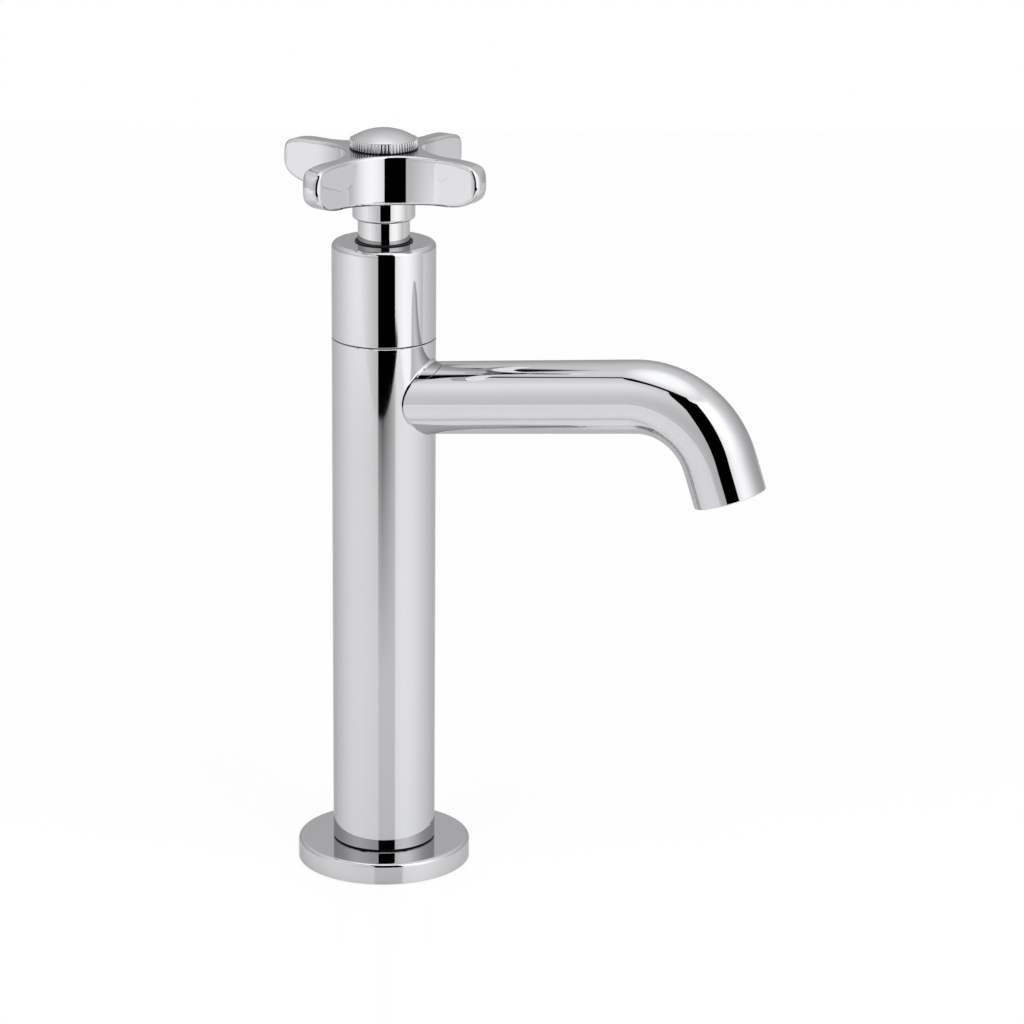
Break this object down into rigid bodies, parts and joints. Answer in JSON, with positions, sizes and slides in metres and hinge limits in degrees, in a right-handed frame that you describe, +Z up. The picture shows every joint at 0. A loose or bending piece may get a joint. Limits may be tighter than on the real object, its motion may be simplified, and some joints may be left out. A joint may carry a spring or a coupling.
{
  "type": "cross handle tap",
  "caption": "Tall deck-mounted single tap: round column on a flange, side spout bent down at its end, and a four-armed cross handle that turns a quarter turn.",
  "frame": {"origin": "on the column's axis in the plane of the deck, at the middle of the insert's bottom face", "axes": "+Z up along the column, +X along the spout as seen from above"},
  "size_m": [0.1761, 0.08, 0.2565],
  "materials": {
    "chrome": "bright chrome plate on brass",
    "raw_brass": "machined",
    "black_rubber": "matt",
    "stainless_steel": "drawn",
    "black_plastic": "moulded",
    "grey_plastic": "moulded",
    "white_ceramic": "lapped"
  },
  "bodies": {
    "root": {"base_flange": "chrome", "deck_gasket": "black_rubber", "foot_ring": "black_rubber", "base_insert": "raw_brass", "column_body": "chrome", "riser_pipe": "stainless_steel", "riser_o_rings": "black_rubber", "valve_block": "raw_brass", "spout_tube": "chrome", "bonnet_sleeve": "chrome", "stem_guide_ring": "black_plastic", "seat_seal": "black_rubber", "fixed_disc": "white_ceramic", "cartridge_body": "raw_brass", "cartridge_o_ring": "black_rubber", "aerator_housing": "grey_plastic", "aerator_screen": "grey_plastic", "aerator_jet_plate": "grey_plastic", "aerator_seal": "black_rubber"},
    "handle": {"moving_disc": "white_ceramic", "spindle": "raw_brass", "spindle_o_rings": "black_rubber", "spindle_clip": "stainless_steel", "stem_sleeve": "chrome", "handle_collar": "chrome", "cross_handle": "chrome", "spline_insert": "black_plastic", "handle_screw": "stainless_steel", "index_cap": "chrome", "cap_gasket": "black_rubber", "cap_o_ring": "black_rubber"}
  },
  "joints": [
    {"name": "handle_turn", "type": "hinge", "parent": "root", "child": "handle", "pos_m": [0, 0, 0.24], "axis": [0, 0, 1], "range_deg": [0, 90]}
  ]
}
